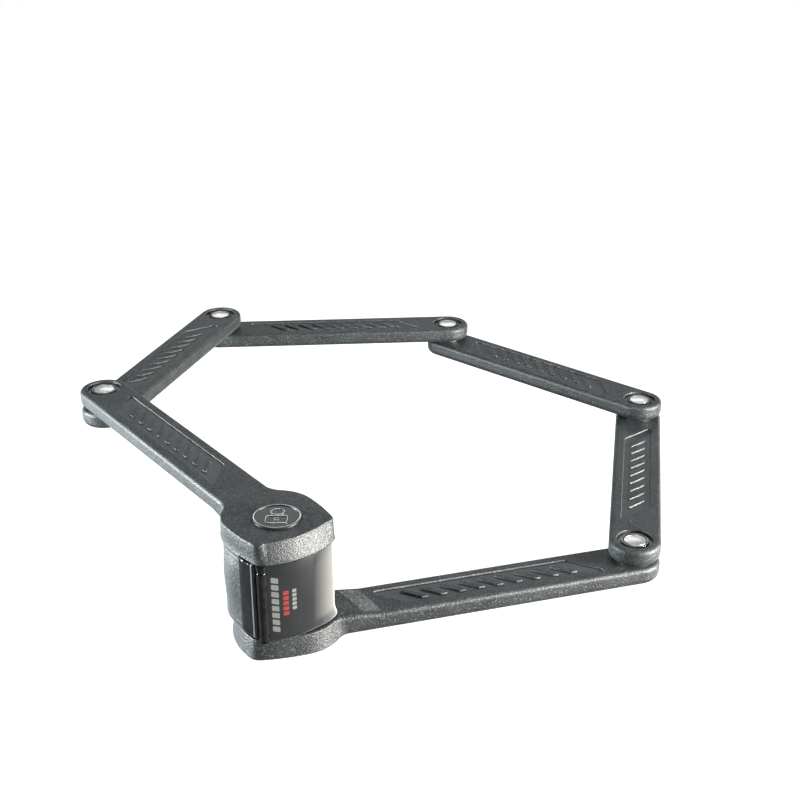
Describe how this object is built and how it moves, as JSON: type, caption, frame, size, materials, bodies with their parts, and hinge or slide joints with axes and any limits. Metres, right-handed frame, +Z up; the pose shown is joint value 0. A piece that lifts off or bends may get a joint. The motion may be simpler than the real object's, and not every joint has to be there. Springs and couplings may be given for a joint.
{
  "type": "folding bike lock",
  "caption": "Folding bicycle lock: flat covered steel links riveted into a loop, with a triangular key-operated lock body between two end heads.",
  "frame": {"origin": "on the lock body's pivot axis, at the underside of the lowest link's head", "axes": "+Z up along the rivets and the pivot axis; +Y away from the keyway cover into the loop; +X to the right along the lowest link"},
  "size_m": [0.2954, 0.2985, 0.0553],
  "materials": {
    "link_cover": "fine grained anthracite overmould, slight sheen",
    "body_shell": "fine grained anthracite shell",
    "satin_panel": "smooth satin dark grey",
    "gloss_black": "polished black",
    "hardened_steel": "hardened, ground",
    "bright_steel": "polished nickel plate",
    "brass": "machined",
    "zinc": "die cast block, as cast",
    "rubber": "matte"
  },
  "bodies": {
    "lock_body": {"side_shell": "body_shell", "housing_core": "zinc", "top_plate": "body_shell", "bottom_plate": "body_shell", "top_plate_screws": "bright_steel", "pivot_rivet": "bright_steel", "pivot_spacer": "hardened_steel", "bolt_sleeve": "brass", "cylinder_body": "brass", "cylinder_pin": "hardened_steel", "cylinder_seal": "rubber", "cover_hinge_pin": "hardened_steel"},
    "keyway_cover": {"keyway_cover": "satin_panel", "cover_hinge_barrel": "gloss_black"},
    "plug": {"plug": "bright_steel", "plug_discs": "brass", "disc_spacers": "hardened_steel", "sidebar": "hardened_steel", "drive_cam": "hardened_steel", "cam_screw": "bright_steel"},
    "bolt": {"locking_bolt": "hardened_steel"},
    "link_6": {"link_6_cover": "link_cover", "link_6_core": "hardened_steel", "pivot_cap": "rubber", "rivet_5": "bright_steel", "rivet_ring_5": "bright_steel", "spacer_5": "hardened_steel"},
    "link_5": {"link_5_cover": "link_cover", "link_5_core": "hardened_steel", "rivet_4": "bright_steel", "rivet_ring_4": "bright_steel", "spacer_4": "hardened_steel"},
    "link_4": {"link_4_cover": "link_cover", "link_4_core": "hardened_steel", "rivet_3": "bright_steel", "rivet_ring_3": "bright_steel", "spacer_3": "hardened_steel"},
    "link_3": {"link_3_cover": "link_cover", "link_3_core": "hardened_steel", "rivet_2": "bright_steel", "rivet_ring_2": "bright_steel", "spacer_2": "hardened_steel"},
    "link_2": {"link_2_cover": "link_cover", "link_2_core": "hardened_steel", "rivet_1": "bright_steel", "rivet_ring_1": "bright_steel", "spacer_1": "hardened_steel"},
    "link_1": {"link_1_cover": "link_cover", "link_1_core": "hardened_steel", "bolt_socket": "hardened_steel", "head_badge": "satin_panel"}
  },
  "joints": [
    {"name": "link_6_pivot", "type": "hinge", "parent": "lock_body", "child": "link_6", "pos_m": [0, 0, 0.004], "axis": [0, 0, 1], "range_deg": [0, 110.04]},
    {"name": "link_5_pivot", "type": "hinge", "parent": "link_6", "child": "link_5", "pos_m": [0.15448, 0.04536, 0.00928], "axis": [0, 0, 1], "range_deg": [0, 116.03]},
    {"name": "link_4_pivot", "type": "hinge", "parent": "link_5", "child": "link_4", "pos_m": [0.17652, 0.1755, 0.01856], "axis": [0, 0, 1], "range_deg": [-238.16, 0]},
    {"name": "link_3_pivot", "type": "hinge", "parent": "link_4", "child": "link_3", "pos_m": [0.07766, 0.26297, 0.02784], "axis": [0, 0, 1], "range_deg": [-225, 135]},
    {"name": "link_2_pivot", "type": "hinge", "parent": "link_3", "child": "link_2", "pos_m": [-0.05409, 0.25491, 0.03712], "axis": [0, 0, 1], "range_deg": [-248.2, 111.8]},
    {"name": "link_1_pivot", "type": "hinge", "parent": "link_2", "child": "link_1", "pos_m": [-0.09554, 0.12959, 0.0464], "axis": [0, 0, 1], "range_deg": [-234.7, 125.3]},
    {"name": "keyway_cover_hinge", "type": "hinge", "parent": "lock_body", "child": "keyway_cover", "pos_m": [-0.00496, -0.02192, 0.027], "axis": [0, 0, -1], "range_deg": [0, 100]},
    {"name": "plug_turn", "type": "hinge", "parent": "lock_body", "child": "plug", "pos_m": [0, 0, 0.0238], "axis": [-0.5934, 0.8049, 0], "range_deg": [0, 90]},
    {"name": "bolt_lift", "type": "slide", "parent": "lock_body", "child": "bolt", "axis": [0, 0, 1], "range_m": [0, 0.00637]}
  ],
  "couplings": [
    {"joint": "link_5_pivot", "follows": "link_6_pivot", "ratio": 1.054},
    {"joint": "link_4_pivot", "follows": "link_6_pivot", "ratio": -2.1639},
    {"joint": "bolt_lift", "follows": "plug_turn", "m_per_rad": 0.0040514}
  ]
}
